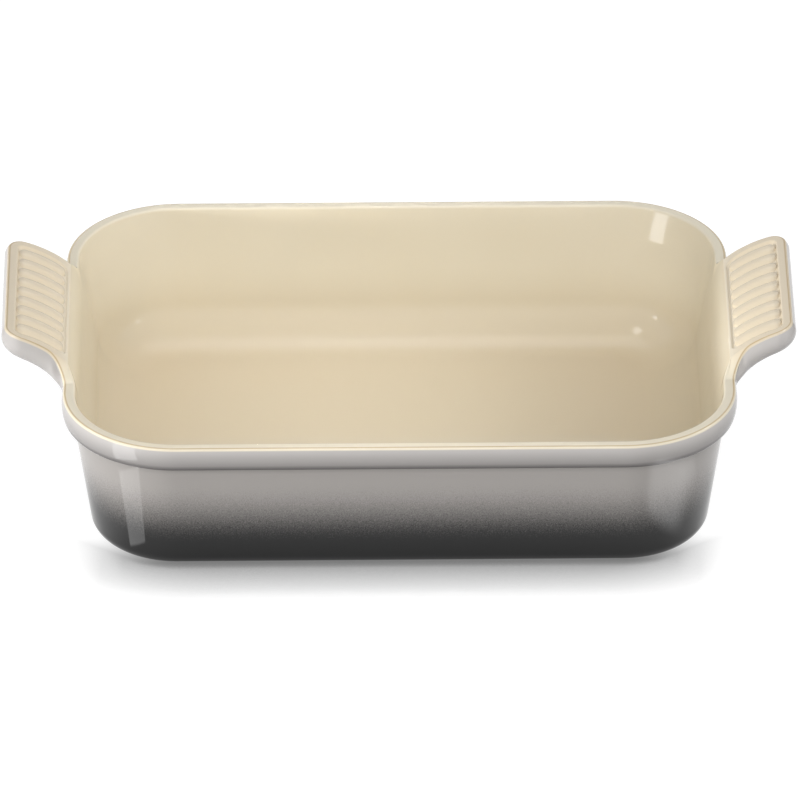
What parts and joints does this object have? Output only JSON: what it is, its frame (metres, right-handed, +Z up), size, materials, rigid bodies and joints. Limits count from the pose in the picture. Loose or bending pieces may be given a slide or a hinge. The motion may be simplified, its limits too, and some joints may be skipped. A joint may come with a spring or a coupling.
{
  "type": "casserole dish",
  "caption": "Rectangular glazed stoneware casserole dish with rounded corners, a swelling rim collar and an arched, ribbed handle at each end.",
  "frame": {"origin": "middle of the footprint, on the surface that the dish stands on", "axes": "+Z up out of the dish's mouth, X along its length from handle to handle, -Y towards the front"},
  "size_m": [0.3834, 0.24, 0.0968],
  "materials": {
    "grey_ombre_glaze": "glossy warm grey glaze that darkens through a fine speckle to charcoal near the base",
    "bare_clay": "matt unglazed stoneware",
    "cream_glaze": "glossy cream glaze",
    "grey_rim_glaze": "glossy light grey glaze",
    "handle_glaze": "glossy cream glaze on top, light grey glaze on the sides and underneath",
    "cream_rib_glaze": "glossy cream glaze"
  },
  "bodies": {
    "root": {"basin": "grey_ombre_glaze", "foot_ring": "bare_clay", "cream_lining": "cream_glaze", "front_rim": "grey_rim_glaze", "back_rim": "grey_rim_glaze", "left_handle": "handle_glaze", "right_handle": "handle_glaze", "left_grip_ribs": "cream_rib_glaze", "right_grip_ribs": "cream_rib_glaze"}
  },
  "joints": []
}
